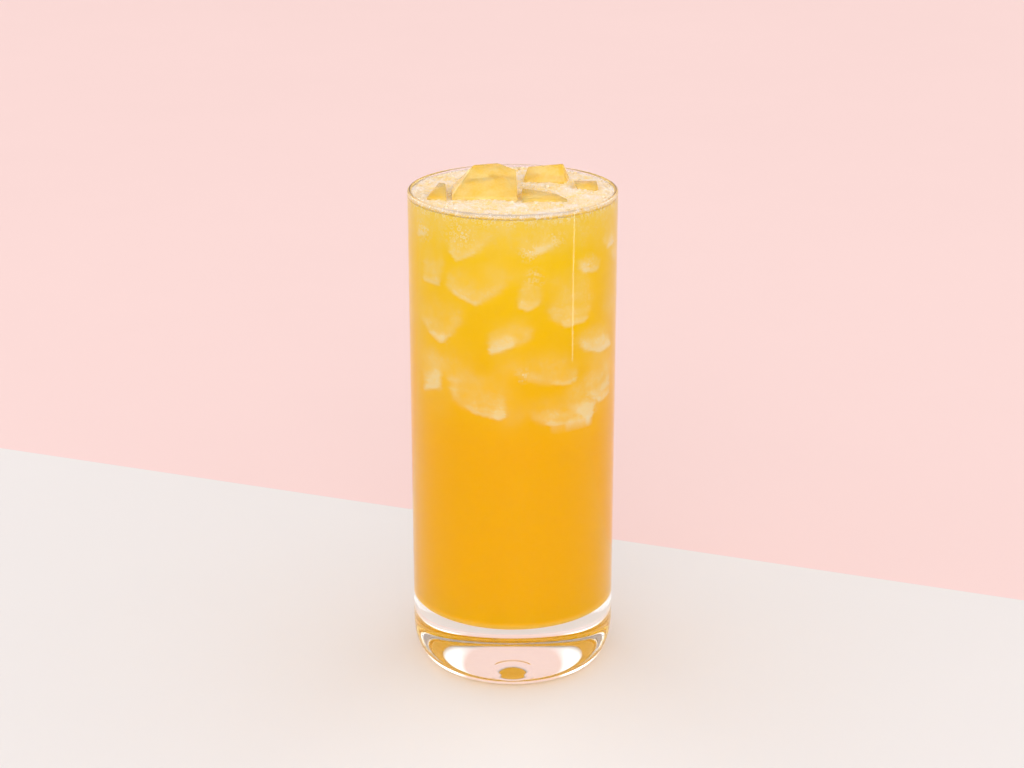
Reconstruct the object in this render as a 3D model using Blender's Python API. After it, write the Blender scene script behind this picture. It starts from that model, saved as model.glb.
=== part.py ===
# Passion fruit tea over cracked ice in a straight glass with a thick clear base.
# Metres, +Z up. The origin is the centre of the glass's foot, on the surface it stands on.
import math

import bmesh
import bpy
from mathutils import Vector

# Glass: a straight turned tumbler
GLASS_HEIGHT = 0.150
GLASS_RADIUS = 0.03108
RIM_WALL = 0.0013            # wall thickness at the rim
LOW_WALL = 0.0022            # wall thickness just above the thick base
BASE_THICKNESS = 0.02026     # clear glass under the drink, at its middle
FLOOR_CORNER = 0.0027        # rounding between the inner wall and the inner floor
FOOT_CORNER_WIDTH = 0.0074   # how far the outer foot rounds inwards
FOOT_CORNER_HEIGHT = 0.0132  # how high up the wall that rounding starts
FOOT_CORNER_POWER = 2.17     # 2 is an ellipse, more is squarer
HOLLOW_RADIUS = 0.02216      # shallow hollow under the foot, inside its flat ring
HOLLOW_DEPTH = 0.00105
HOLLOW_POWER = 10            # how flat the hollow is before it drops to the ring
HOLLOW_RINGS = (0.5, 0.7, 0.8, 0.87, 0.93, 0.97, 1.0)
DIMPLE_RADIUS = 0.0039       # small press mark in the middle of the underside
DIMPLE_DEPTH = 0.00066
DIMPLE_RINGS = 4
SEGMENTS = 64
ARC_STEPS = 7
FOOT_STEPS = 11
RIM_STEPS = 6
WALL_STEPS = 4               # rows up the side of the drink

# Contents
GAP = 0.0003                 # clearance between touching pieces
DRINK_LEVEL = 0.1482
FROTH_THICKNESS = 0.0009
FROTH_SWELL = 0.00035        # height of the uneven swells on the froth
FROTH_RINGS = 7

# Ice that stands out of the froth: corners in millimetres, crown first and then the root below
ICE_CORNERS = {
    "ice_peak": [
        (-11.5, 0.5, 157.0), (-4.4, 2.0, 157.2), (1.0, 0.0, 155.6), (1.3, -10.6, 150.2),
        (-17.9, -1.0, 151.0), (-17.6, -9.4, 150.0), (-12.0, 7.5, 152.0), (1.2, 7.0, 151.5),
        (-17.0, -9.8, 146.0), (1.3, -11.2, 146.5), (-9.0, -9.0, 141.5),
        (-14.0, 5.5, 140.0), (0.0, 5.0, 141.0), (-6.0, -1.5, 136.5),
    ],
    "ice_back": [
        (4.4, 14.0, 153.1), (15.0, 12.5, 154.4), (15.4, 15.0, 153.8), (6.0, 17.5, 152.4),
        (3.0, 11.0, 149.0), (15.4, 10.0, 149.4), (17.4, 16.0, 148.5), (5.0, 20.0, 148.5),
        (5.5, 12.0, 141.5), (14.5, 12.5, 140.0), (10.5, 19.0, 141.0),
    ],
    "ice_front": [
        (2.9, -1.0, 150.4), (2.7, -4.2, 151.0), (12.6, -8.2, 150.5), (15.9, -12.0, 149.8),
        (2.7, -12.3, 149.8), (5.0, 2.0, 145.5), (15.5, -4.0, 145.0), (14.5, -13.5, 143.5),
        (4.0, -12.8, 144.5), (10.0, -6.0, 138.0),
    ],
    "ice_left": [
        (-21.6, 1.0, 151.7), (-19.6, -1.2, 151.8), (-24.9, -9.9, 149.9), (-19.2, -10.2, 150.1),
        (-26.0, 1.0, 146.0), (-19.4, -11.4, 144.5), (-24.0, -8.0, 141.0), (-20.6, 1.0, 142.5),
    ],
    "ice_right": [
        (18.2, 8.6, 150.2), (25.0, 7.4, 150.6), (25.2, 2.6, 149.9), (18.8, 3.4, 150.0),
        (19.6, 12.0, 145.5), (26.0, 6.0, 144.0), (22.0, 0.4, 143.5), (20.5, 6.0, 139.5),
    ],
}

# Colours: base colour, roughness, metallic
LOOKS = {
    "glass": ((0.93, 0.95, 0.95, 0.35), 0.03, 0.0),
    "tea": ((0.88, 0.42, 0.02, 1.0), 0.15, 0.0),
    "froth": ((0.95, 0.85, 0.62, 1.0), 0.60, 0.0),
    "ice": ((0.96, 0.72, 0.20, 1.0), 0.08, 0.0),
}


def clear_scene():
    for old in list(bpy.data.objects):
        bpy.data.objects.remove(old, do_unlink=True)


def make_material(name):
    colour, roughness, metallic = LOOKS[name]
    material = bpy.data.materials.new(name)
    material.use_nodes = True
    shader = material.node_tree.nodes["Principled BSDF"]
    shader.inputs["Base Color"].default_value = colour
    shader.inputs["Roughness"].default_value = roughness
    shader.inputs["Metallic"].default_value = metallic
    shader.inputs["Alpha"].default_value = colour[3]
    material.diffuse_color = colour
    return material


def add_object(name, mesh, material=None):
    thing = bpy.data.objects.new(name, mesh)
    bpy.context.collection.objects.link(thing)
    if material is not None:
        mesh.materials.append(material)
    return thing


def shade_round(mesh, sharp_degrees=35.0):
    mesh.shade_smooth()
    mesh.set_sharp_from_angle(angle=math.radians(sharp_degrees))


def arc(centre, width, height, start, end, steps=ARC_STEPS, power=2.0):
    """Points (radius, height) on a rounded corner, angles in degrees from +radius."""
    points = []
    for step in range(steps + 1):
        angle = math.radians(start + (end - start) * step / steps)
        across = math.copysign(abs(math.cos(angle)) ** (2.0 / power), math.cos(angle))
        up = math.copysign(abs(math.sin(angle)) ** (2.0 / power), math.sin(angle))
        points.append((centre[0] + width * across, centre[1] + height * up))
    return points


def inner_profile(gap=0.0):
    """The inside of the glass from the floor's middle to the foot of the wall, moved in by gap."""
    floor_z = BASE_THICKNESS + gap
    corner = FLOOR_CORNER - gap
    corner_centre = (GLASS_RADIUS - LOW_WALL - gap - corner, floor_z + corner)
    points = [(0.0, floor_z), (corner_centre[0] * 0.5, floor_z)]
    points += arc(corner_centre, corner, corner, -90, 0)
    return points


def wall_radius(height, gap=0.0):
    """The inner wall's radius at a height, moved in by gap."""
    start = BASE_THICKNESS + FLOOR_CORNER
    share = (height - start) / (GLASS_HEIGHT - RIM_WALL / 2 - start)
    low = GLASS_RADIUS - LOW_WALL
    top = GLASS_RADIUS - RIM_WALL
    return low + (top - low) * share - gap


def underside_height(radius):
    """Height of the underside: a flat shallow hollow with a press mark in its middle."""
    hollow = HOLLOW_DEPTH * (1.0 - (radius / HOLLOW_RADIUS) ** HOLLOW_POWER)
    if radius >= DIMPLE_RADIUS:
        return hollow
    return hollow + DIMPLE_DEPTH * (1.0 - (radius / DIMPLE_RADIUS) ** 2)


def glass_profile():
    """The closed outline of the glass: underside, foot, wall, rim, inside, floor."""
    radii = [DIMPLE_RADIUS * ring / DIMPLE_RINGS for ring in range(DIMPLE_RINGS + 1)]
    radii += [HOLLOW_RADIUS * share for share in HOLLOW_RINGS]
    underside = [(radius, underside_height(radius)) for radius in radii]
    foot_centre = (GLASS_RADIUS - FOOT_CORNER_WIDTH, FOOT_CORNER_HEIGHT)
    foot = arc(foot_centre, FOOT_CORNER_WIDTH, FOOT_CORNER_HEIGHT, -90, 0, FOOT_STEPS,
               FOOT_CORNER_POWER)
    rim_centre = (GLASS_RADIUS - RIM_WALL / 2, GLASS_HEIGHT - RIM_WALL / 2)
    rim = arc(rim_centre, RIM_WALL / 2, RIM_WALL / 2, 0, 180, RIM_STEPS)
    return underside + foot + rim + list(reversed(inner_profile()))


def turned_mesh(name, profile, segments=SEGMENTS):
    """Turn a profile about Z. Points on the axis become one vertex."""
    shape = bmesh.new()
    rows = []
    for radius, height in profile:
        if radius < 1e-7:
            rows.append([shape.verts.new((0.0, 0.0, height))])
            continue
        row = []
        for index in range(segments):
            angle = 2 * math.pi * index / segments
            row.append(shape.verts.new((radius * math.cos(angle), radius * math.sin(angle), height)))
        rows.append(row)
    for low, high in zip(rows, rows[1:]):
        for index in range(segments):
            after = (index + 1) % segments
            if len(low) == 1:
                shape.faces.new((low[0], high[after], high[index]))
            elif len(high) == 1:
                shape.faces.new((low[index], low[after], high[0]))
            else:
                shape.faces.new((low[index], low[after], high[after], high[index]))
    bmesh.ops.recalc_face_normals(shape, faces=shape.faces)
    mesh = bpy.data.meshes.new(name)
    shape.to_mesh(mesh)
    shape.free()
    return mesh


def hull_planes(corners):
    """Outward planes (point, normal) of the convex hull of some corners."""
    shape = bmesh.new()
    for corner in corners:
        shape.verts.new(Vector(corner) / 1000.0)
    bmesh.ops.convex_hull(shape, input=shape.verts)
    middle = sum((vertex.co for vertex in shape.verts), Vector()) / len(shape.verts)
    planes = []
    for face in shape.faces:
        face.normal_update()
        normal = face.normal.copy()
        point = face.calc_center_median()
        if normal.dot(point - middle) < 0:
            normal.negate()
        planes.append((point, normal))
    shape.free()
    return planes, middle


def ice_mesh(name, corners, grow=0.0):
    """A cracked lump of ice: a block split along the planes of its corners' hull."""
    planes, middle = hull_planes(corners)
    shape = bmesh.new()
    bmesh.ops.create_cube(shape, size=0.06)
    bmesh.ops.translate(shape, verts=shape.verts, vec=middle)
    for point, normal in planes:
        everything = list(shape.verts) + list(shape.edges) + list(shape.faces)
        cut = bmesh.ops.bisect_plane(
            shape, geom=everything, dist=1e-7, plane_co=point + normal * grow, plane_no=normal,
            clear_outer=True)
        edges = [part for part in cut["geom_cut"] if isinstance(part, bmesh.types.BMEdge)]
        if len(edges) > 2:
            bmesh.ops.contextual_create(shape, geom=edges)
    bmesh.ops.dissolve_degenerate(shape, dist=2e-5, edges=shape.edges)
    bmesh.ops.recalc_face_normals(shape, faces=shape.faces)
    mesh = bpy.data.meshes.new(name)
    shape.to_mesh(mesh)
    shape.free()
    return mesh


def froth_height(x, y):
    """Uneven top of the froth: slow swells with a slight rise at the wall."""
    swell = math.sin(x * 410 + 1.3) * math.cos(y * 350 - 0.4)
    ripple = math.sin((x - y) * 780) * 0.4 + math.cos((x * 0.6 + y) * 930) * 0.3
    rim_rise = (math.hypot(x, y) / GLASS_RADIUS) ** 6 * 0.5
    return FROTH_SWELL * (swell * 0.6 + ripple * 0.5 + rim_rise)


def froth_mesh():
    """A thin disc of foam that fills the glass from wall to wall."""
    bottom = DRINK_LEVEL + GAP
    radius = wall_radius(bottom, GAP)
    shape = bmesh.new()
    top_middle = shape.verts.new((0, 0, bottom + FROTH_THICKNESS + froth_height(0, 0)))
    rings = []
    for ring in range(1, FROTH_RINGS + 1):
        reach = radius * ring / FROTH_RINGS
        row = []
        for index in range(SEGMENTS):
            angle = 2 * math.pi * index / SEGMENTS
            x = reach * math.cos(angle)
            y = reach * math.sin(angle)
            row.append(shape.verts.new((x, y, bottom + FROTH_THICKNESS + froth_height(x, y))))
        rings.append(row)
    foot = [shape.verts.new((v.co.x, v.co.y, bottom)) for v in rings[-1]]
    for index in range(SEGMENTS):
        after = (index + 1) % SEGMENTS
        shape.faces.new((top_middle, rings[0][index], rings[0][after]))
        for low, high in zip(rings, rings[1:]):
            shape.faces.new((low[index], high[index], high[after], low[after]))
        shape.faces.new((rings[-1][index], foot[index], foot[after], rings[-1][after]))
    shape.faces.new(list(reversed(foot)))
    bmesh.ops.recalc_face_normals(shape, faces=shape.faces)
    mesh = bpy.data.meshes.new("froth")
    shape.to_mesh(mesh)
    shape.free()
    return mesh


def drink_mesh():
    """The tea up to its level, clear of the glass all round."""
    floor = inner_profile(GAP)
    start = floor[-1][1]
    wall = []
    for step in range(1, WALL_STEPS + 1):
        height = start + (DRINK_LEVEL - start) * step / WALL_STEPS
        wall.append((wall_radius(height, GAP), height))
    top = [(wall_radius(DRINK_LEVEL, GAP) * 0.5, DRINK_LEVEL), (0.0, DRINK_LEVEL)]
    return turned_mesh("drink", floor + wall + top)


def cut_round(thing, cutters):
    """Cut pockets for the ice out of the drink or the froth."""
    for cutter in cutters:
        cut = thing.modifiers.new("pocket_" + cutter.name, "BOOLEAN")
        cut.operation = "DIFFERENCE"
        cut.solver = "EXACT"
        cut.object = cutter


def make_glass():
    mesh = turned_mesh("tumbler", glass_profile())
    shade_round(mesh)
    return add_object("tumbler", mesh, make_material("glass"))


def make_ice():
    """The lumps that stand out of the froth, and a slightly larger cutter for each."""
    material = make_material("ice")
    cutters = []
    for name, corners in ICE_CORNERS.items():
        add_object(name, ice_mesh(name, corners), material)
        cutter = add_object("pocket_" + name, ice_mesh("pocket_" + name, corners, GAP))
        cutter.hide_render = True
        cutter.display_type = "WIRE"
        cutters.append(cutter)
    return cutters


def make_contents():
    cutters = make_ice()
    drink = drink_mesh()
    shade_round(drink)
    cut_round(add_object("drink", drink, make_material("tea")), cutters)
    froth = froth_mesh()
    shade_round(froth, 60.0)
    cut_round(add_object("froth", froth, make_material("froth")), cutters)


clear_scene()
make_glass()
make_contents()
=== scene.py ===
import math
import random
import time

import bpy
import numpy as np
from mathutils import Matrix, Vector, noise
from mathutils.bvhtree import BVHTree


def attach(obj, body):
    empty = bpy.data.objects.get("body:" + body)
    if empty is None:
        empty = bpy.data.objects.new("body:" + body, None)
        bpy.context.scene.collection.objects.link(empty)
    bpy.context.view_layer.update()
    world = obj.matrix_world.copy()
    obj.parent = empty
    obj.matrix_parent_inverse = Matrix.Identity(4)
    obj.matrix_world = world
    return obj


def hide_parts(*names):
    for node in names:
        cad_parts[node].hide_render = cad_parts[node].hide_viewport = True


started = time.time()
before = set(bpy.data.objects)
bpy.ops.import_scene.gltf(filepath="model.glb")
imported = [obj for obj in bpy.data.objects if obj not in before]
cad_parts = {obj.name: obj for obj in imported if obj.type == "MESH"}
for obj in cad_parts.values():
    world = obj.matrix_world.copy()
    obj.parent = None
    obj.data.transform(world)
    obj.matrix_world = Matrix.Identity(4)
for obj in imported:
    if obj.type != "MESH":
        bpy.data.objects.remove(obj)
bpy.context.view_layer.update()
print("frame loaded")

# Modelling helpers


def deselectAll():
    bpy.ops.object.select_all(action="DESELECT")


def startEdit(thing):
    deselectAll()
    thing.select_set(True)
    bpy.context.view_layer.objects.active = thing
    bpy.ops.object.mode_set(mode="EDIT")
    bpy.ops.mesh.select_all(action="SELECT")


def endEdit():
    bpy.ops.object.mode_set(mode="OBJECT")


# A plane is merged to one point, drawn out along the outline in XZ and spun round Z
def turnShape(name, outline, steps):
    deselectAll()
    bpy.ops.mesh.primitive_plane_add(size=0.002, location=(0, 0, 0))
    thing = bpy.context.object
    thing.name = name
    startEdit(thing)
    bpy.ops.mesh.merge(type="CENTER")
    bpy.ops.transform.translate(value=(outline[0][0], 0, outline[0][1]))
    for before, after in zip(outline, outline[1:]):
        move = (after[0] - before[0], 0, after[1] - before[1])
        bpy.ops.mesh.extrude_region_move(TRANSFORM_OT_translate={"value": move})
    bpy.ops.mesh.select_all(action="SELECT")
    bpy.ops.mesh.spin(steps=steps, angle=math.tau, center=(0, 0, 0), axis=(0, 0, 1))
    bpy.ops.mesh.select_all(action="SELECT")
    bpy.ops.mesh.remove_doubles(threshold=0.000002)
    bpy.ops.mesh.normals_make_consistent(inside=False)
    endEdit()
    bpy.ops.object.shade_smooth()
    return thing


def joinAll(name, things):
    deselectAll()
    for thing in things:
        thing.select_set(True)
    bpy.context.view_layer.objects.active = things[0]
    bpy.ops.object.join()
    joined = bpy.context.object
    joined.name = name
    deselectAll()
    return joined


def applyCut(thing, cutter):
    cut = thing.modifiers.new("cut", "BOOLEAN")
    cut.operation = "DIFFERENCE"
    cut.solver = "EXACT"
    cut.object = cutter
    deselectAll()
    bpy.context.view_layer.objects.active = thing
    bpy.ops.object.modifier_apply(modifier="cut")


def roundCorner(centre, width, height, start, end, count, power=2.0):
    points = []
    for step in range(count + 1):
        angle = math.radians(start + (end - start) * step / count)
        across = math.copysign(abs(math.cos(angle)) ** (2.0 / power), math.cos(angle))
        up = math.copysign(abs(math.sin(angle)) ** (2.0 / power), math.sin(angle))
        points.append((centre[0] + width * across, centre[1] + height * up))
    return points


# The faces of several meshes, to find what lies near a point or along a line
def makeTree(things):
    verts, faces = [], []
    for thing in things:
        base = len(verts)
        verts += [vertex.co.copy() for vertex in thing.data.vertices]
        faces += [[base + index for index in face.vertices] for face in thing.data.polygons]
    return BVHTree.FromPolygons(verts, faces)


# Shader helpers


def newMaterial(name):
    material = bpy.data.materials.new(name)
    material.use_nodes = True
    nodes = material.node_tree.nodes
    return material, nodes, material.node_tree.links, nodes["Principled BSDF"]


def addNode(nodes, kind, place, **values):
    node = nodes.new(kind)
    node.location = place
    for key, value in values.items():
        if hasattr(node, key):
            setattr(node, key, value)
        else:
            node.inputs[key].default_value = value
    return node


def setInputs(node, values):
    for key, value in values.items():
        node.inputs[key].default_value = value


def addRamp(nodes, place, stops):
    ramp = addNode(nodes, "ShaderNodeValToRGB", place)
    elements = ramp.color_ramp.elements
    while len(elements) < len(stops):
        elements.new(0.5)
    for element, (position, colour) in zip(elements, stops):
        element.position = position
        element.color = (*colour, 1.0)
    return ramp


def addMix(nodes, place):
    return addNode(nodes, "ShaderNodeMix", place, data_type="RGBA")


# Shared effect: cloudy mottling with a fine grain, as a value and a normal
def makeCloudGroup():
    group = bpy.data.node_groups.new("cloudGrain", "ShaderNodeTree")
    face = group.interface
    face.new_socket("Vector", in_out="INPUT", socket_type="NodeSocketVector")
    face.new_socket("Scale", in_out="INPUT", socket_type="NodeSocketFloat")
    face.new_socket("Relief", in_out="INPUT", socket_type="NodeSocketFloat")
    face.new_socket("Mask", in_out="OUTPUT", socket_type="NodeSocketFloat")
    face.new_socket("Normal", in_out="OUTPUT", socket_type="NodeSocketVector")
    nodes, links = group.nodes, group.links
    start = addNode(nodes, "NodeGroupInput", (-800, 0))
    end = addNode(nodes, "NodeGroupOutput", (500, 0))
    cloud = addNode(nodes, "ShaderNodeTexNoise", (-500, 150), Detail=5.0, Roughness=0.6)
    grainScale = addNode(nodes, "ShaderNodeMath", (-620, -150), operation="MULTIPLY")
    grainScale.inputs[1].default_value = 9.0
    grain = addNode(nodes, "ShaderNodeTexNoise", (-420, -150), Detail=2.0, Roughness=0.5)
    both = addNode(nodes, "ShaderNodeMath", (-150, 60), operation="MULTIPLY_ADD")
    both.inputs[1].default_value = 0.22
    spread = addNode(nodes, "ShaderNodeMapRange", (60, 120))
    setInputs(spread, {"From Min": 0.42, "From Max": 0.78})
    bump = addNode(nodes, "ShaderNodeBump", (240, -120), Distance=0.0002)
    links.new(start.outputs["Vector"], cloud.inputs["Vector"])
    links.new(start.outputs["Vector"], grain.inputs["Vector"])
    links.new(start.outputs["Scale"], cloud.inputs["Scale"])
    links.new(start.outputs["Scale"], grainScale.inputs[0])
    links.new(grainScale.outputs[0], grain.inputs["Scale"])
    links.new(grain.outputs[0], both.inputs[0])
    links.new(cloud.outputs[0], both.inputs[2])
    links.new(both.outputs[0], spread.inputs["Value"])
    links.new(spread.outputs[0], end.inputs["Mask"])
    links.new(both.outputs[0], bump.inputs["Height"])
    links.new(start.outputs["Relief"], bump.inputs["Strength"])
    links.new(bump.outputs[0], end.inputs["Normal"])
    return group


# Shared effect: small round bubbles, as masks for their rings and their insides
def makeBubbleGroup():
    group = bpy.data.node_groups.new("bubbleRings", "ShaderNodeTree")
    face = group.interface
    face.new_socket("Vector", in_out="INPUT", socket_type="NodeSocketVector")
    face.new_socket("Scale", in_out="INPUT", socket_type="NodeSocketFloat")
    face.new_socket("Ring", in_out="OUTPUT", socket_type="NodeSocketFloat")
    face.new_socket("Inside", in_out="OUTPUT", socket_type="NodeSocketFloat")
    nodes, links = group.nodes, group.links
    start = addNode(nodes, "NodeGroupInput", (-700, 0))
    end = addNode(nodes, "NodeGroupOutput", (600, 0))
    cells = addNode(nodes, "ShaderNodeTexVoronoi", (-450, 0), Randomness=0.9)
    tint = addNode(nodes, "ShaderNodeSeparateColor", (-250, -160))
    size = addNode(nodes, "ShaderNodeMapRange", (-60, -160))
    setInputs(size, {"To Min": 0.25, "To Max": 0.7})
    reach = addNode(nodes, "ShaderNodeMath", (130, 60), operation="DIVIDE")
    ring = addRamp(nodes, (330, 160), [(0.0, (0, 0, 0)), (0.5, (0, 0, 0)), (0.8, (1, 1, 1)),
                                       (1.0, (0, 0, 0))])
    inside = addRamp(nodes, (330, -280), [(0.0, (1, 1, 1)), (0.9, (1, 1, 1)), (1.0, (0, 0, 0))])
    links.new(start.outputs["Vector"], cells.inputs["Vector"])
    links.new(start.outputs["Scale"], cells.inputs["Scale"])
    links.new(cells.outputs["Color"], tint.inputs[0])
    links.new(tint.outputs[0], size.inputs["Value"])
    links.new(cells.outputs["Distance"], reach.inputs[0])
    links.new(size.outputs[0], reach.inputs[1])
    links.new(reach.outputs[0], ring.inputs[0])
    links.new(reach.outputs[0], inside.inputs[0])
    links.new(ring.outputs[0], end.inputs["Ring"])
    links.new(inside.outputs[0], end.inputs["Inside"])
    return group


cloudGroup = makeCloudGroup()
bubbleGroup = makeBubbleGroup()


def addGroup(nodes, group, place):
    node = nodes.new("ShaderNodeGroup")
    node.node_tree = group
    node.location = place
    return node


# Tumbler
glassValues = {
    "height": 0.150, "radius": 0.03108, "rimWall": 0.0013, "lowWall": 0.0022, "base": 0.02026,
    "floorCorner": 0.0027, "footWidth": 0.0074, "footHeight": 0.0132, "footPower": 2.17,
    "hollowRadius": 0.02216, "hollowDepth": 0.00105, "hollowPower": 10,
    "dimpleRadius": 0.0039, "dimpleDepth": 0.00066, "steps": 224, "dimpleRings": 16,
    "hollowRings": 32, "footRings": 40, "wallRings": 10, "rimRings": 16, "floorRings": 6,
    "cornerRings": 24,
}


def wallRadius(height):
    g = glassValues
    start = g["base"] + g["floorCorner"]
    share = (height - start) / (g["height"] - g["rimWall"] / 2 - start)
    return g["radius"] - g["lowWall"] + (g["lowWall"] - g["rimWall"]) * share


def undersideHeight(radius):
    g = glassValues
    height = g["hollowDepth"] * (1.0 - (radius / g["hollowRadius"]) ** g["hollowPower"])
    if radius < g["dimpleRadius"]:
        height += g["dimpleDepth"] * (1.0 - (radius / g["dimpleRadius"]) ** 2)
    return height


# The inside of the glass from the floor's middle to the start of the straight wall
def insideOutline(gap, rings, corners):
    g = glassValues
    floor = g["base"] + gap
    corner = g["floorCorner"] - gap
    centre = (g["radius"] - g["lowWall"] - gap - corner, floor + corner)
    points = [(centre[0] * ring / rings, floor) for ring in range(rings)]
    return points + roundCorner(centre, corner, corner, -90, 0, corners)


def tumblerOutline():
    g = glassValues
    points = []
    for i in range(g["dimpleRings"]):
        radius = g["dimpleRadius"] * i / g["dimpleRings"]
        points.append((radius, undersideHeight(radius)))
    hollow = g["hollowRadius"] - g["dimpleRadius"]
    for i in range(g["hollowRings"] + 1):
        radius = g["dimpleRadius"] + hollow * i / g["hollowRings"]
        points.append((radius, undersideHeight(radius)))
    footStart = g["radius"] - g["footWidth"]
    points.append(((g["hollowRadius"] + footStart) / 2, 0.0))
    points += roundCorner((footStart, g["footHeight"]), g["footWidth"], g["footHeight"],
                          -90, 0, g["footRings"], g["footPower"])
    top = g["height"] - g["rimWall"] / 2
    for i in range(1, g["wallRings"]):
        height = g["footHeight"] + (top - g["footHeight"]) * i / g["wallRings"]
        points.append((g["radius"], height))
    rim = g["rimWall"] / 2
    points += roundCorner((g["radius"] - rim, top), rim, rim, 0, 180, g["rimRings"])
    inside = insideOutline(0.0, g["floorRings"], g["cornerRings"])
    for i in range(g["wallRings"] - 1, 0, -1):
        height = inside[-1][1] + (top - inside[-1][1]) * i / g["wallRings"]
        points.append((wallRadius(height), height))
    return points + list(reversed(inside))


def makeGlassMaterial():
    material, nodes, links, shader = newMaterial("clearGlass")
    setInputs(shader, {"IOR": 1.5, "Transmission Weight": 1.0, "Specular IOR Level": 0.12})
    place = addNode(nodes, "ShaderNodeTexCoord", (-900, 0))
    cloud = addGroup(nodes, cloudGroup, (-650, 0))
    setInputs(cloud, {"Scale": 45.0, "Relief": 0.004})
    tint = addRamp(nodes, (-350, 150), [(0.0, (0.985, 0.992, 0.99)), (1.0, (1.0, 1.0, 1.0))])
    rough = addNode(nodes, "ShaderNodeMapRange", (-350, -120))
    setInputs(rough, {"To Min": 0.0, "To Max": 0.012})
    links.new(place.outputs["Object"], cloud.inputs["Vector"])
    links.new(cloud.outputs["Mask"], tint.inputs[0])
    links.new(cloud.outputs["Mask"], rough.inputs["Value"])
    links.new(tint.outputs[0], shader.inputs["Base Color"])
    links.new(rough.outputs[0], shader.inputs["Roughness"])
    return material


tumbler = turnShape("clearTumbler", tumblerOutline(), glassValues["steps"])
tumbler.data.materials.append(makeGlassMaterial())
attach(tumbler, "root")
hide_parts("tumbler")
print("tumbler made", round(time.time() - started, 1))

# Ice sunk in the tea: each outline is (angle round the wall, height in mm), seen from outside
sunkValues = {
    "block": 0.06, "nearest": 0.0002, "thickness": 0.009, "lean": 13.0, "leanChange": 6.0,
    "faceSpread": 15.0, "faceTurn": 2.0, "faceDepth": (0.6, 2.4), "sideDrop": 0.006,
    "merge": 0.00005, "soften": 0.0005, "behindTurn": 178, "behindSpread": 1.05, "seed": 4,
}
sunkOutlines = [
    [(-37, 144.7), (-29, 147.2), (-9, 146.6), (-11, 142.4), (-20, 138.2), (-32, 135.0),
     (-37, 137.4)],
    [(-38, 131.2), (-20, 135.7), (-6, 133.6), (-4, 129.3), (-7, 127.2), (-21, 122.6),
     (-33, 125.0), (-39, 127.1)],
    [(2, 145.5), (10, 147.7), (27, 146.4), (27, 139.7), (16, 138.3), (10, 136.8), (4, 139.4)],
    [(6, 134.5), (12, 132.1), (16, 126.0), (14, 123.1), (8, 121.5), (2, 122.7), (4, 127.9)],
    [(-59, 119.7), (-44, 123.1), (-30, 122.2), (-28, 118.5), (-36, 112.6), (-44, 109.3),
     (-51, 110.8), (-61, 114.9)],
    [(-14, 113.4), (-8, 117.3), (5, 118.6), (11, 115.7), (8, 112.5), (-9, 108.6), (-13, 108.3)],
    [(0, 104.5), (8, 108.3), (28, 107.9), (38, 102.4), (38, 98.3), (30, 97.8), (14, 99.7),
     (4, 101.5)],
    [(-38, 96.2), (-31, 99.9), (-16, 102.2), (-5, 99.0), (-4, 89.1), (-7, 88.3), (-22, 89.6),
     (-34, 92.5)],
    [(9, 92.1), (22, 93.8), (39, 92.7), (52, 89.0), (51, 85.1), (37, 85.0), (22, 85.7),
     (12, 88.1)],
    [(38, 134.9), (47, 135.4), (56, 132.7), (53, 130.0), (41, 130.9)],
    [(58, 143.2), (65, 144.7), (72, 143.0), (73, 136.1), (64, 135.4), (59, 138.6)],
    [(20, 128.8), (29, 129.7), (45, 126.8), (49, 121.7), (45, 116.1), (30, 115.4), (20, 119.8)],
    [(38, 110.8), (50, 112.5), (67, 110.1), (71, 104.8), (57, 104.6), (44, 107.1)],
    [(46, 103.0), (58, 103.7), (69, 99.5), (70, 89.9), (58, 88.8), (46, 92.9)],
    [(-65, 142.7), (-57, 144.2), (-52, 143.0), (-55, 140.3), (-64, 139.5)],
    [(-61, 104.1), (-48, 106.6), (-43, 102.6), (-45, 95.2), (-60, 92.4)],
    [(-56, 139.0), (-42, 141.0), (-41, 134.1), (-44, 126.9), (-58, 126.7)],
]


def outward(angle):
    turn = math.radians(angle)
    return Vector((math.sin(turn), -math.cos(turn), 0.0))


def wallPoint(angle, height):
    return outward(angle) * wallRadius(height) + Vector((0, 0, height))


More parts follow.
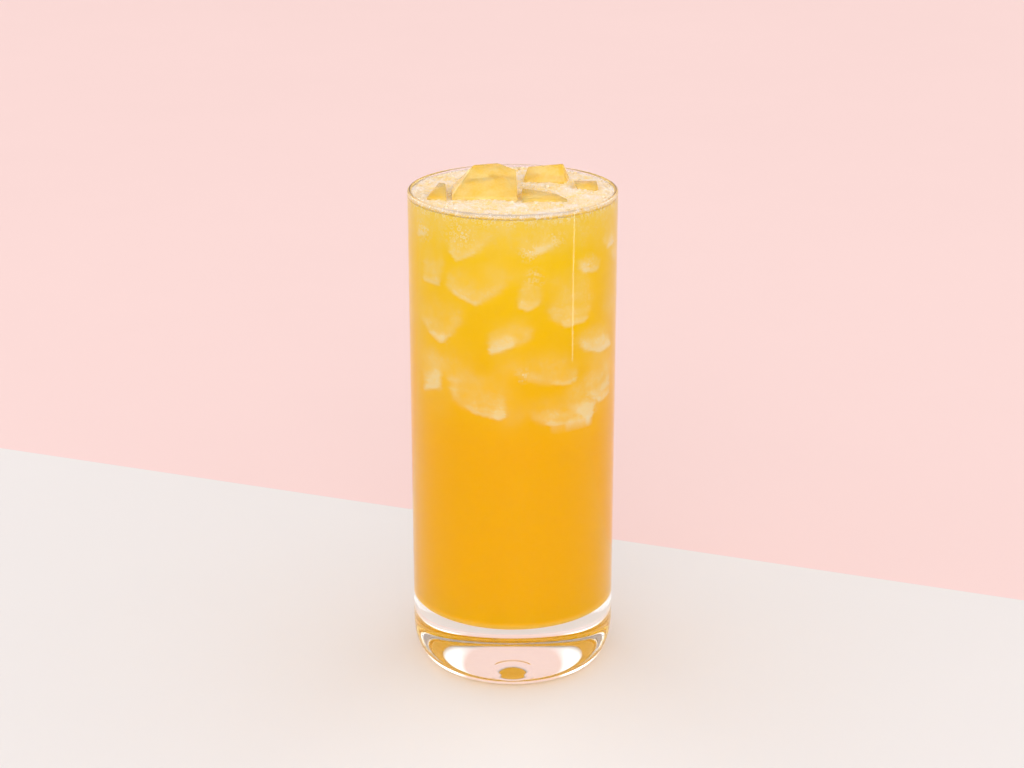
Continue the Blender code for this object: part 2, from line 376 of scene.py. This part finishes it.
# A cube at the lump's place is cut back along its front faces, its back and its sides, then
# softened. The front faces lean back from their lower edge, which lies nearest the glass
def makeLump(name, outline, chance, nearest):
    v = sunkValues
    corners = [wallPoint(angle, height / 1000) for angle, height in outline]
    angles = [angle for angle, height in outline]
    middle = sum(corners, Vector()) / len(corners)
    low = min(height for angle, height in outline) / 1000
    spread = max(angles) - min(angles)
    count = max(1, math.ceil(spread / v["faceSpread"]))
    back = outward(sum(angles) / len(angles))
    inner = middle - back * (nearest + v["thickness"] * 0.5)
    cuts = [(middle - back * (nearest + v["thickness"]), -back)]
    for part in range(count):
        angle = min(angles) + spread * (part + 0.5) / count
        angle += chance.uniform(-v["faceTurn"], v["faceTurn"])
        lean = math.radians(v["lean"] + chance.uniform(-v["leanChange"], v["leanChange"]))
        depth = nearest * chance.uniform(*v["faceDepth"])
        touch = outward(angle) * (wallRadius(low) - depth) + Vector((0, 0, low))
        cuts.append((touch, outward(angle) * math.cos(lean) + Vector((0, 0, math.sin(lean)))))
    for first, second in zip(corners, corners[1:] + corners[:1]):
        centre = Vector((0, 0, (first.z + second.z) / 2 - v["sideDrop"]))
        side = (first - centre).cross(second - centre).normalized()
        if side.dot(inner - first) > 0:
            side.negate()
        cuts.append((first, side))
    deselectAll()
    bpy.ops.mesh.primitive_cube_add(size=v["block"], location=inner)
    lump = bpy.context.object
    lump.name = name
    startEdit(lump)
    for place, normal in cuts:
        bpy.ops.mesh.select_all(action="SELECT")
        bpy.ops.mesh.bisect(plane_co=place, plane_no=normal, use_fill=True, clear_outer=True)
    bpy.ops.mesh.select_all(action="SELECT")
    bpy.ops.mesh.remove_doubles(threshold=v["merge"])
    bpy.ops.mesh.bevel(offset=v["soften"], segments=2, affect="EDGES", clamp_overlap=True)
    bpy.ops.mesh.select_all(action="SELECT")
    bpy.ops.mesh.normals_make_consistent(inside=False)
    endEdit()
    bpy.ops.object.transform_apply(location=True, rotation=True, scale=True)
    return lump


# Lumps deeper in the tea: their depth is in steps of the nearest ones', wide is in degrees and
# tall, height and top are in mm
deepValues = {"count": 34, "depth": (5, 11), "height": (90, 139), "wide": (9, 13),
              "tall": (5, 8), "corners": 7, "cornerTurn": 0.3, "reach": (0.8, 1.1), "top": 146}


def randomOutline(chance):
    d = deepValues
    angle, height = chance.uniform(0, 360), chance.uniform(*d["height"])
    wide, tall = chance.uniform(*d["wide"]), chance.uniform(*d["tall"])
    points = []
    for corner in range(d["corners"]):
        shift = chance.uniform(-d["cornerTurn"], d["cornerTurn"])
        turn = math.tau * (corner + shift) / d["corners"]
        reach = chance.uniform(*d["reach"])
        points.append((angle + wide * reach * math.cos(turn),
                       min(d["top"], height + tall * reach * math.sin(turn))))
    return points


def makeSunkIce():
    v = sunkValues
    chance = random.Random(v["seed"])
    lumps = []
    for number, outline in enumerate(sunkOutlines):
        behind = [(v["behindTurn"] - angle * v["behindSpread"], height)
                  for angle, height in reversed(outline)]
        lumps.append(makeLump(f"lumpFront{number}", outline, chance, v["nearest"]))
        lumps.append(makeLump(f"lumpBack{number}", behind, chance, v["nearest"]))
    shallow, deep = deepValues["depth"]
    for number in range(deepValues["count"]):
        depth = chance.uniform(v["nearest"] * shallow, v["nearest"] * deep)
        lumps.append(makeLump(f"lumpDeep{number}", randomOutline(chance), chance, depth))
    return lumps


lumps = makeSunkIce()
print("sunk ice made", len(lumps), round(time.time() - started, 1))

# Tea
teaValues = {
    "level": 0.1482, "reachIntoGlass": 0.0001, "steps": 430, "floorRings": 12,
    "cornerRings": 10, "topRings": 16, "coarseRow": 0.0026, "fineRow": 0.0004,
    "iceFrom": 0.083, "paintBelow": 0.006, "sideDepth": 0.0005,
    "lookDown": 19.0, "lookDepth": 0.013, "looks": 8,
    "cloudiness": 0.0019, "iceClarity": 0.0018, "paintedGlintReach": 0.0035, "under": -0.3,
    "faceGain": 0.55, "paintedTopLight": 0.35, "paintedSideLight": 0.3, "steep": 0.05, "paintedSteepLight": 0.4,
    "layers": (0.0008, 0.0018, 1.0), "blurs": (1, 5, 26),
    "topVeil": 0.28, "veilDepth": 0.014, "topFizz": 0.9, "fizzDepth": 0.003,
}
# Where pale bubble rings are painted on the tea's side: clusters of small bubbles clinging to
# the glass, and some spots that are painted highlights standing in for small sparkles. Angle,
# height in mm, reach in mm, strength
fizzAndSparkleSpots = [(-30, 143, 6, 1.0), (9, 139, 4, 0.9), (24, 142, 4, 0.7), (-58, 142, 5, 0.9),
             (46, 133, 4, 0.6), (-42, 111, 3, 0.7), (6, 102, 3, 0.8), (12, 131, 4, 0.7),
             (50, 90, 5, 0.6), (150, 140, 6, 0.9), (215, 141, 5, 0.8), (110, 136, 5, 0.7)]


def drinkOutline():
    t = teaValues
    reach = t["reachIntoGlass"]
    points = insideOutline(-reach, t["floorRings"], t["cornerRings"])
    height = points[-1][1]
    while height < t["level"] - t["fineRow"] / 2:
        height += t["coarseRow"] if height < t["iceFrom"] else t["fineRow"]
        points.append((wallRadius(height) + reach, min(height, t["level"])))
    top, rings = points[-1][0], t["topRings"]
    return points + [(top * (1 - i / rings), t["level"]) for i in range(1, rings + 1)]


# One look from the wall inwards and slightly down. It adds the paleness of the sunk ice, with
# painted shade by facet direction, and a painted highlight along the lower edges to the layer
# of its depth in the tea
def lookInward(tree, angle, height, cell):
    t = teaValues
    spoke = outward(angle)
    side = Vector((-spoke.y, spoke.x, 0.0))
    aim = (-spoke - Vector((0, 0, math.tan(math.radians(t["lookDown"]))))).normalized()
    start = wallPoint(angle, height)
    travelled, tea, inside, gain = 0.0, 0.0, 0, 0.0
    for look in range(t["looks"]):
        hit, normal, face, distance = tree.ray_cast(start, aim, t["lookDepth"] - travelled)
        if hit is None:
            break
        travelled += distance
        start = hit + aim * 0.00001  # just past the face
        layer = next(i for i, limit in enumerate(t["layers"]) if tea < limit)
        through = math.exp(-tea / t["cloudiness"])
        if inside > 0:
            cell[layer, 0] += through * gain * (1.0 - math.exp(-distance / t["iceClarity"]))
        if normal.dot(aim) < 0:  # into a lump
            if inside == 0:
                tea += distance
            inside += 1
            # Painted shade: faces turned up or to one side, and steep faces, are painted paler
            gain = t["faceGain"] + t["paintedTopLight"] * normal.z + t["paintedSideLight"] * normal.dot(side)
            if normal.z < t["steep"]:
                gain += t["paintedSteepLight"]
        else:
            # Painted highlight: a glint where the look leaves a lump through its underside
            if normal.z < t["under"]:
                cell[layer, 1] += through * math.exp(-distance / t["paintedGlintReach"])
            inside = max(0, inside - 1)


def blurRound(values, times):
    for again in range(times):
        values = (np.roll(values, 1, 1) + values * 2 + np.roll(values, -1, 1)) / 4
        above = np.concatenate((values[1:], values[-1:]))
        below = np.concatenate((values[:1], values[:-1]))
        values = (above + values * 2 + below) / 4
    return values


# The looks on a grid round the tea's side, from its low row up. Deeper layers are blurred more
def lookRound(things, low, rows):
    t = teaValues
    tree = makeTree(things)
    grid = np.zeros((rows, t["steps"], len(t["layers"]), 2), np.float32)
    for row in range(rows):
        for column in range(t["steps"]):
            lookInward(tree, column * 360 / t["steps"], low + row * t["fineRow"],
                       grid[row, column])
    layers = [blurRound(grid[:, :, i], times) for i, times in enumerate(t["blurs"])]
    return np.clip(sum(layers), 0.0, 1.0)


# Painted on the points of the tea's side: paleness of the sunk ice with its painted facet
# shade, the painted highlight of its lower edges, and the fizz with some painted sparkle
def paintTea(drink, things):
    t = teaValues
    low = t["iceFrom"] - t["paintBelow"]
    rows = int((t["level"] - low) / t["fineRow"]) + 1
    shown = lookRound(things, low, rows)
    seen = drink.data.color_attributes.new("seen", "FLOAT_COLOR", "POINT")
    values = np.zeros((len(drink.data.vertices), 4), np.float32)
    values[:, 3] = 1.0
    for index, vertex in enumerate(drink.data.vertices):
        place = vertex.co
        inner = wallRadius(place.z) - t["sideDepth"]
        if place.z < low or math.hypot(place.x, place.y) < inner:
            continue
        turn = math.degrees(math.atan2(place.x, -place.y))
        row = min(rows - 1, round((place.z - low) / t["fineRow"]))
        values[index, :2] = shown[row, round(turn / 360 * t["steps"]) % t["steps"]]
        for angle, height, reach, strength in fizzAndSparkleSpots:
            off = (turn - angle + 180) % 360 - 180
            away = math.hypot(off * 0.5, place.z * 1000 - height) / reach  # 0.5 mm a degree
            values[index, 2] = max(values[index, 2], strength * (1.0 - away))
        sunk = t["level"] - place.z
        values[index, 0] = max(values[index, 0], t["topVeil"] * (1.0 - sunk / t["veilDepth"]))
        values[index, 2] = max(values[index, 2], t["topFizz"] * (1.0 - sunk / t["fizzDepth"]))
    seen.data.foreach_set("color", values.ravel())
    drink.data.color_attributes.active_color = seen


def makeTeaMaterial():
    material, nodes, links, shader = newMaterial("cloudyTea")
    setInputs(shader, {"Roughness": 0.6, "Specular IOR Level": 0.0, "IOR": 1.0})
    place = addNode(nodes, "ShaderNodeTexCoord", (-1500, 0))
    split = addNode(nodes, "ShaderNodeSeparateXYZ", (-1300, 200))
    rise = addNode(nodes, "ShaderNodeMapRange", (-1100, 200))
    setInputs(rise, {"From Min": 0.02, "From Max": 0.15})
    depth = addRamp(nodes, (-900, 250), [
        (0.006, (1.0, 0.62, 0.12)), (0.02, (0.96, 0.505, 0.002)), (0.45, (0.97, 0.515, 0.0)),
        (0.56, (0.97, 0.55, 0.0)), (0.72, (0.97, 0.60, 0.0)), (0.9, (0.97, 0.645, 0.002)),
        (1.0, (0.97, 0.66, 0.006))])
    cloud = addGroup(nodes, cloudGroup, (-1100, -100))
    setInputs(cloud, {"Scale": 170.0, "Relief": 0.0})
    bubbles = addGroup(nodes, bubbleGroup, (-1100, -600))
    setInputs(bubbles, {"Scale": 950.0})
    seen = addNode(nodes, "ShaderNodeVertexColor", (-1300, -350), layer_name="seen")
    masks = addNode(nodes, "ShaderNodeSeparateColor", (-1100, -350))
    mottle = addNode(nodes, "ShaderNodeMapRange", (-880, -100))
    setInputs(mottle, {"To Min": 0.6, "To Max": 1.7})
    # Paleness of the sunk ice seen through the tea, with its painted facet shade, mottled
    veil = addNode(nodes, "ShaderNodeMath", (-660, -200), operation="MULTIPLY", use_clamp=True)
    pale = addMix(nodes, (-430, 100))
    pale.inputs["B"].default_value = (0.97, 0.76, 0.32, 1.0)
    # Painted highlight along the lower edges of the sunk ice
    glint = addMix(nodes, (-220, 100))
    glint.inputs["B"].default_value = (0.98, 0.85, 0.58, 1.0)
    patches = addNode(nodes, "ShaderNodeMapRange", (-880, -450))  # bubbly parts of the ice
    setInputs(patches, {"From Min": 0.5, "From Max": 0.9, "To Max": 0.8})
    inIce = addNode(nodes, "ShaderNodeMath", (-660, -420), operation="MULTIPLY")
    gather = addNode(nodes, "ShaderNodeMath", (-660, -580), operation="MAXIMUM")
    fizz = addNode(nodes, "ShaderNodeMath", (-430, -500), operation="MULTIPLY", use_clamp=True)
    # Pale bubble rings: bubbles clinging to the glass, and at some spots painted highlights for
    # sparkles
    foamy = addMix(nodes, (-20, 100))
    foamy.inputs["B"].default_value = (0.98, 0.88, 0.66, 1.0)
    links.new(place.outputs["Object"], split.inputs[0])
    links.new(split.outputs["Z"], rise.inputs["Value"])
    links.new(rise.outputs[0], depth.inputs[0])
    links.new(place.outputs["Object"], cloud.inputs["Vector"])
    links.new(seen.outputs["Color"], masks.inputs[0])
    links.new(cloud.outputs["Mask"], mottle.inputs["Value"])
    links.new(masks.outputs[0], veil.inputs[0])
    links.new(mottle.outputs[0], veil.inputs[1])
    links.new(veil.outputs[0], pale.inputs["Factor"])
    links.new(depth.outputs[0], pale.inputs["A"])
    links.new(pale.outputs["Result"], glint.inputs["A"])
    links.new(masks.outputs[1], glint.inputs["Factor"])
    links.new(place.outputs["Object"], bubbles.inputs["Vector"])
    links.new(cloud.outputs["Mask"], patches.inputs["Value"])
    links.new(patches.outputs[0], inIce.inputs[0])
    links.new(masks.outputs[0], inIce.inputs[1])
    links.new(inIce.outputs[0], gather.inputs[0])
    links.new(masks.outputs[2], gather.inputs[1])
    links.new(bubbles.outputs["Ring"], fizz.inputs[0])
    links.new(gather.outputs[0], fizz.inputs[1])
    links.new(glint.outputs["Result"], foamy.inputs["A"])
    links.new(fizz.outputs[0], foamy.inputs["Factor"])
    links.new(foamy.outputs["Result"], shader.inputs["Base Color"])
    # Painted glow: the tea's underside gives off a faint orange light of its own, standing in
    # for the light the cloudy tea passes down, so its underside is never quite dark
    paintedUnderGlow = addRamp(nodes, (-300, -300), [(0.006, (0.20, 0.10, 0.008)), (0.025, (0, 0, 0))])
    shader.inputs["Emission Strength"].default_value = 1.0
    links.new(rise.outputs[0], paintedUnderGlow.inputs[0])
    links.new(paintedUnderGlow.outputs[0], shader.inputs["Emission Color"])
    return material


drink = turnShape("cloudyTea", drinkOutline(), teaValues["steps"])
paintTea(drink, lumps)
drink.data.materials.append(makeTeaMaterial())
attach(drink, "root")
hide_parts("drink")
print("tea made", round(time.time() - started, 1))


# Ice: clear, faintly streaked and tinted
def makeIceMaterial(name, tintLow, tintHigh):
    material, nodes, links, shader = newMaterial(name)
    setInputs(shader, {"IOR": 1.31, "Transmission Weight": 0.65})
    place = addNode(nodes, "ShaderNodeTexCoord", (-1100, 0))
    streak = addNode(nodes, "ShaderNodeMapping", (-900, -150), Scale=(1.0, 1.0, 0.12))
    streaks = addGroup(nodes, cloudGroup, (-680, -150))
    setInputs(streaks, {"Scale": 700.0, "Relief": 0.6})
    cloud = addGroup(nodes, cloudGroup, (-680, 150))
    setInputs(cloud, {"Scale": 160.0, "Relief": 0.1})
    tint = addRamp(nodes, (-400, 200), [(0.0, tintLow), (1.0, tintHigh)])
    rough = addNode(nodes, "ShaderNodeMapRange", (-400, -60))
    setInputs(rough, {"To Min": 0.02, "To Max": 0.16})
    links.new(place.outputs["Object"], streak.inputs["Vector"])
    links.new(streak.outputs[0], streaks.inputs["Vector"])
    links.new(place.outputs["Object"], cloud.inputs["Vector"])
    links.new(cloud.outputs["Mask"], tint.inputs[0])
    links.new(streaks.outputs["Mask"], rough.inputs["Value"])
    links.new(tint.outputs[0], shader.inputs["Base Color"])
    links.new(rough.outputs[0], shader.inputs["Roughness"])
    links.new(streaks.outputs["Normal"], shader.inputs["Normal"])
    return material


iceMaterial = makeIceMaterial("wetIce", (1.0, 0.73, 0.15), (1.0, 0.92, 0.52))
sunkIce = joinAll("sunkIce", lumps)
sunkIce.data.materials.append(iceMaterial)
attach(sunkIce, "root")

# Ice that stands out of the froth: the frame's lumps with softened edges
standingValues = {"merge": 0.00001, "flat": 1.0, "soften": 0.0003, "segments": 2, "smooth": 28}
standingNodes = ("ice_peak", "ice_back", "ice_front", "ice_left", "ice_right")
standing = []
for nodeName in standingNodes:
    lump = bpy.data.objects.new(nodeName + "Clear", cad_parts[nodeName].data.copy())
    bpy.context.collection.objects.link(lump)
    startEdit(lump)
    bpy.ops.mesh.remove_doubles(threshold=standingValues["merge"])
    bpy.ops.mesh.dissolve_limited(angle_limit=math.radians(standingValues["flat"]))
    bpy.ops.mesh.select_all(action="SELECT")
    bpy.ops.mesh.bevel(offset=standingValues["soften"], segments=standingValues["segments"],
                       affect="EDGES")
    bpy.ops.mesh.select_all(action="SELECT")
    bpy.ops.mesh.normals_make_consistent(inside=False)
    endEdit()
    bpy.ops.object.shade_smooth_by_angle(angle=math.radians(standingValues["smooth"]))
    lump.data.materials.clear()
    lump.data.materials.append(iceMaterial)
    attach(lump, "root")
    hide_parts(nodeName)
    standing.append(lump)
print("standing ice made", round(time.time() - started, 1))

# Froth
frothValues = {
    "bottom": 0.1481, "thickness": 0.0011, "rings": 110, "steps": 440,
    "reachIntoGlass": 0.0001, "shelfWidth": 0.0002, "overlap": 0.00002,
    "swell": 0.00035, "calm": 0.7, "creep": 0.0011, "climb": 0.0002,
    "domes": ((0.0014, 0.18), (0.0008, 0.13)), "domeFall": 2.4, "domeSink": 0.0003,
}


# A slow swell, a finer ripple across it and a rise towards the wall
def frothHeight(x, y):
    swell = math.sin(x * 410 + 1.3) * math.cos(y * 350 - 0.4)
    ripple = math.sin((x - y) * 780) * 0.4 + math.cos((x * 0.6 + y) * 930) * 0.3
    rise = (math.hypot(x, y) / glassValues["radius"]) ** 6 * 0.5
    return frothValues["swell"] * (swell * 0.6 + ripple * 0.5 + rise) * frothValues["calm"]


# Round domes where the noise's cells have their middles, two sizes over each other
def frothBubbles(x, y):
    height = 0.0
    for size, part in frothValues["domes"]:
        near = noise.voronoi(Vector((x / size, y / size, 3.0)))[0][0]
        height += size * part * max(0.0, 1.0 - near * near * frothValues["domeFall"])
    return height


def makeFroth():
    v = frothValues
    edge = wallRadius(v["bottom"]) + v["reachIntoGlass"]
    inset = edge - v["shelfWidth"]
    top = v["bottom"] + v["thickness"]
    shelf = teaValues["level"] - v["overlap"]  # only this little overlaps the tea's side
    outline = [(0.0, v["bottom"]), (edge * 0.5, v["bottom"]), (inset, v["bottom"]),
               (inset, shelf), (edge, shelf), (edge, top)]
    outline += [(edge * (1 - i / v["rings"]), top) for i in range(1, v["rings"] + 1)]
    froth = turnShape("foam", outline, v["steps"])
    for vertex in froth.data.vertices:
        if vertex.co.z > v["bottom"] + v["thickness"] / 2:
            x, y = vertex.co.x, vertex.co.y
            inner = min(1.0, max(0.0, (edge - math.hypot(x, y)) / v["creep"]))
            vertex.co.z += frothHeight(x, y) + (frothBubbles(x, y) - v["domeSink"]) * inner
            vertex.co.z += v["climb"] * (1.0 - inner) ** 2
    return froth


def makeFrothMaterial():
    material, nodes, links, shader = newMaterial("paleFoam")
    setInputs(shader, {"Specular IOR Level": 0.3})
    place = addNode(nodes, "ShaderNodeTexCoord", (-1200, 0))
    cloud = addGroup(nodes, cloudGroup, (-950, 200))
    setInputs(cloud, {"Scale": 170.0, "Relief": 0.12})
    bubbles = addGroup(nodes, bubbleGroup, (-950, -150))
    setInputs(bubbles, {"Scale": 1300.0})
    cream = addRamp(nodes, (-650, 200), [(0.0, (0.86, 0.54, 0.15)), (0.14, (0.87, 0.68, 0.44)),
                                         (0.36, (0.86, 0.73, 0.64)), (1.0, (0.88, 0.79, 0.77))])
    split = addNode(nodes, "ShaderNodeSeparateXYZ", (-950, 450))
    rise = addNode(nodes, "ShaderNodeMapRange", (-750, 450))  # golden where it meets the tea
    setInputs(rise, {"From Min": 0.1487, "From Max": 0.1494})
    wet = addMix(nodes, (-500, 350))
    wet.inputs["A"].default_value = (0.93, 0.62, 0.12, 1.0)
    hole = addMix(nodes, (-350, 150))
    hole.inputs["B"].default_value = (0.84, 0.54, 0.14, 1.0)
    holeMask = addNode(nodes, "ShaderNodeMath", (-600, -150), operation="MULTIPLY")
    holeMask.inputs[1].default_value = 0.22
    rim = addMix(nodes, (-120, 150))
    rim.inputs["B"].default_value = (0.92, 0.86, 0.84, 1.0)
    rough = addNode(nodes, "ShaderNodeMapRange", (-350, -200))
    setInputs(rough, {"To Min": 0.3, "To Max": 0.6})
    links.new(place.outputs["Object"], cloud.inputs["Vector"])
    links.new(place.outputs["Object"], bubbles.inputs["Vector"])
    links.new(cloud.outputs["Mask"], cream.inputs[0])
    links.new(place.outputs["Object"], split.inputs[0])
    links.new(split.outputs["Z"], rise.inputs["Value"])
    links.new(rise.outputs[0], wet.inputs["Factor"])
    links.new(cream.outputs[0], wet.inputs["B"])
    links.new(wet.outputs["Result"], hole.inputs["A"])
    links.new(bubbles.outputs["Inside"], holeMask.inputs[0])
    links.new(holeMask.outputs[0], hole.inputs["Factor"])
    links.new(hole.outputs["Result"], rim.inputs["A"])
    links.new(bubbles.outputs["Ring"], rim.inputs["Factor"])
    links.new(rim.outputs["Result"], shader.inputs["Base Color"])
    links.new(cloud.outputs["Mask"], rough.inputs["Value"])
    links.new(rough.outputs[0], shader.inputs["Roughness"])
    links.new(cloud.outputs["Normal"], shader.inputs["Normal"])
    return material


froth = makeFroth()
for nodeName in standingNodes:
    applyCut(froth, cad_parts[nodeName])
froth.data.materials.clear()
froth.data.materials.append(makeFrothMaterial())
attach(froth, "root")
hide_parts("froth")
print("froth made", round(time.time() - started, 1))

# Single bubbles on the froth and along the wall
bubbleValues = {"atWall": 150, "onTop": 110, "small": 0.00026, "large": 0.00085,
                "smallMore": 2.5, "sunk": 0.0002, "wallGap": 0.00005, "iceGap": 0.0001,
                "seed": 11}


def makeBubbles():
    v = bubbleValues
    chance = random.Random(v["seed"])
    iceTree = makeTree(standing)
    level = frothValues["bottom"] + frothValues["thickness"] - v["sunk"]
    bubbles, places = [], []
    for number in range(v["atWall"] + v["onTop"]):
        radius = v["small"] + (v["large"] - v["small"]) * chance.random() ** v["smallMore"]
        reach = wallRadius(level) - radius - v["wallGap"]
        if number >= v["atWall"]:
            reach *= math.sqrt(chance.random())
        place = outward(chance.uniform(0, 360)) * reach
        place.z = level + frothHeight(place.x, place.y)
        close = iceTree.find_nearest(place)[3] < radius + v["iceGap"]
        below = iceTree.ray_cast(place, Vector((0, 0, 1)))[0] is not None
        touching = any((place - other).length < radius + size for other, size in places)
        if close or below or touching:
            continue
        places.append((place, radius))
        deselectAll()
        bpy.ops.mesh.primitive_ico_sphere_add(subdivisions=2, radius=radius, location=place)
        bpy.ops.object.transform_apply(location=True, rotation=True, scale=True)
        bpy.ops.object.shade_smooth()
        bubbles.append(bpy.context.object)
    return joinAll("bubbles", bubbles)


def makeBubbleMaterial():
    material, nodes, links, shader = newMaterial("thinBubble")
    setInputs(shader, {"IOR": 1.25, "Transmission Weight": 0.3})
    place = addNode(nodes, "ShaderNodeTexCoord", (-900, 0))
    cloud = addGroup(nodes, cloudGroup, (-650, 0))
    setInputs(cloud, {"Scale": 400.0, "Relief": 0.02})
    tint = addRamp(nodes, (-350, 150), [(0.0, (0.96, 0.72, 0.36)), (1.0, (0.96, 0.89, 0.80))])
    rough = addNode(nodes, "ShaderNodeMapRange", (-350, -120))
    setInputs(rough, {"To Min": 0.02, "To Max": 0.1})
    links.new(place.outputs["Object"], cloud.inputs["Vector"])
    links.new(cloud.outputs["Mask"], tint.inputs[0])
    links.new(cloud.outputs["Mask"], rough.inputs["Value"])
    links.new(tint.outputs[0], shader.inputs["Base Color"])
    links.new(rough.outputs[0], shader.inputs["Roughness"])
    return material


bubbles = makeBubbles()
bubbles.data.materials.append(makeBubbleMaterial())
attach(bubbles, "root")
print("bubbles made", round(time.time() - started, 1))

# Pale floor, blush beyond a straight seam
stageValues = {"size": 6.0, "floor": (0.80, 0.775, 0.775), "blush": (0.88, 0.66, 0.65),
               "mottle": 0.985, "seam": (-0.017, 0.1054, 0.0), "turn": -20.6}


def makePaintMaterial(name, colour):
    material, nodes, links, shader = newMaterial(name)
    setInputs(shader, {"Roughness": 0.75, "Specular IOR Level": 0.1})
    place = addNode(nodes, "ShaderNodeTexCoord", (-900, 0))
    cloud = addGroup(nodes, cloudGroup, (-650, 0))
    setInputs(cloud, {"Scale": 2.5, "Relief": 0.0})
    low = tuple(part * stageValues["mottle"] for part in colour)
    paint = addRamp(nodes, (-350, 0), [(0.0, low), (1.0, colour)])
    links.new(place.outputs["Object"], cloud.inputs["Vector"])
    links.new(cloud.outputs["Mask"], paint.inputs[0])
    links.new(paint.outputs[0], shader.inputs["Base Color"])
    return material


def makeGround(name, colour, outer):
    deselectAll()
    bpy.ops.mesh.primitive_plane_add(size=stageValues["size"], location=(0, 0, 0))
    ground = bpy.context.object
    ground.name = name
    turn = math.radians(stageValues["turn"])
    across = (-math.sin(turn), math.cos(turn), 0.0)
    startEdit(ground)
    bpy.ops.mesh.bisect(plane_co=stageValues["seam"], plane_no=across, clear_outer=outer,
                        clear_inner=not outer)
    endEdit()
    ground.data.materials.append(makePaintMaterial(name + "Paint", colour))
    return ground


floor = makeGround("paleFloor", stageValues["floor"], True)
blush = makeGround("blushFloor", stageValues["blush"], False)
print("floor made", round(time.time() - started, 1))

# Light. The sky's shares stand at heights from the horizon (0) to straight above (1)
lightValues = {
    "strength": 3.6, "low": (1.0, 0.88, 0.85), "high": (1.0, 0.985, 0.975), "highFrom": 0.2,
    "sky": [(0.0, 0.26), (0.16, 0.27), (0.26, 1.0), (0.45, 0.82), (0.7, 0.12), (1.0, 0.05)],
    "behind": (0.27, 0.198, 0.182), "behindRise": 24.0, "behindEdge": (0.86, 0.93),
    "key": 3.6, "keyPlace": (-0.1, -1.2, 0.55), "keyAim": (0, 0, 0.08), "keySize": (0.9, 0.9),
    "strip": 0.010, "stripTurn": 66.0, "stripAway": 0.30, "stripHeight": 0.062,
    "stripSize": (0.007, 0.10),
}


def addArea(name, place, aim, size, power):
    light = bpy.data.lights.new(name, "AREA")
    light.shape = "RECTANGLE"
    light.size, light.size_y = size
    light.energy = power
    lamp = bpy.data.objects.new(name, light)
    bpy.context.collection.objects.link(lamp)
    lamp.location = place
    lamp.rotation_euler = (Vector(aim) - Vector(place)).to_track_quat("-Z", "Y").to_euler()


def makeSky():
    v = lightValues
    world = bpy.data.worlds.new("studio")
    bpy.context.scene.world = world
    world.use_nodes = True
    nodes, links = world.node_tree.nodes, world.node_tree.links
    background = nodes["Background"]
    background.inputs["Strength"].default_value = v["strength"]
    stops = []
    for height, share in v["sky"]:
        tint = v["low"] if height < v["highFrom"] else v["high"]
        stops.append((height, tuple(share * part for part in tint)))
    direction = addNode(nodes, "ShaderNodeTexCoord", (-1000, 0))
    split = addNode(nodes, "ShaderNodeSeparateXYZ", (-800, 0))
    sky = addRamp(nodes, (-600, 0), stops)
    # A dim blush patch low behind the glass, which its foot shows
    rise = math.radians(v["behindRise"])
    facing = addNode(nodes, "ShaderNodeVectorMath", (-800, 300), operation="DOT_PRODUCT")
    facing.inputs[1].default_value = (0.0, math.cos(rise), math.sin(rise))
    patch = addNode(nodes, "ShaderNodeMapRange", (-600, 300))
    setInputs(patch, {"From Min": v["behindEdge"][0], "From Max": v["behindEdge"][1]})
    shaded = addMix(nodes, (-300, 100))
    shaded.inputs["B"].default_value = (*v["behind"], 1.0)
    links.new(direction.outputs["Generated"], split.inputs[0])
    links.new(direction.outputs["Generated"], facing.inputs[0])
    links.new(split.outputs["Z"], sky.inputs[0])
    links.new(facing.outputs["Value"], patch.inputs["Value"])
    links.new(sky.outputs[0], shaded.inputs["A"])
    links.new(patch.outputs[0], shaded.inputs["Factor"])
    links.new(shaded.outputs["Result"], background.inputs["Color"])


makeSky()
addArea("keyLight", lightValues["keyPlace"], lightValues["keyAim"], lightValues["keySize"],
        lightValues["key"])
stripAim = Vector((0, 0, lightValues["stripHeight"]))
stripPlace = outward(lightValues["stripTurn"]) * lightValues["stripAway"] + stripAim
addArea("stripLight", stripPlace, stripAim, lightValues["stripSize"], lightValues["strip"])

# Camera at the photograph's angle, its lens and sensor in mm and its turn down in radians
cameraValues = {"away": 0.5973, "height": 0.29948, "side": -0.00021, "down": 0.33892,
                "lens": 73.206, "sensor": 36.0, "nearest": 0.01}
camera = bpy.data.objects.new("camera", bpy.data.cameras.new("camera"))
bpy.context.collection.objects.link(camera)
camera.data.sensor_width = cameraValues["sensor"]
camera.data.lens = cameraValues["lens"]
camera.data.clip_start = cameraValues["nearest"]
camera.location = (cameraValues["side"], -cameraValues["away"], cameraValues["height"])
camera.rotation_euler = (math.radians(90) - cameraValues["down"], 0, 0)

# View: a raised black in blue gives the deep yellows, and the glass needs many bounces
viewValues = {"black": (0.0, 0.0, 0.026), "bounces": 24, "glossy": 12, "diffuse": 6}
scene = bpy.context.scene
scene.camera = camera
scene.view_settings.view_transform = "Standard"
scene.view_settings.use_curve_mapping = True
scene.view_settings.curve_mapping.black_level = viewValues["black"]
scene.view_settings.curve_mapping.update()
scene.cycles.use_denoising = True
scene.cycles.max_bounces = viewValues["bounces"]
scene.cycles.transmission_bounces = viewValues["bounces"]
scene.cycles.glossy_bounces = viewValues["glossy"]
scene.cycles.diffuse_bounces = viewValues["diffuse"]
print("light and camera made", round(time.time() - started, 1))
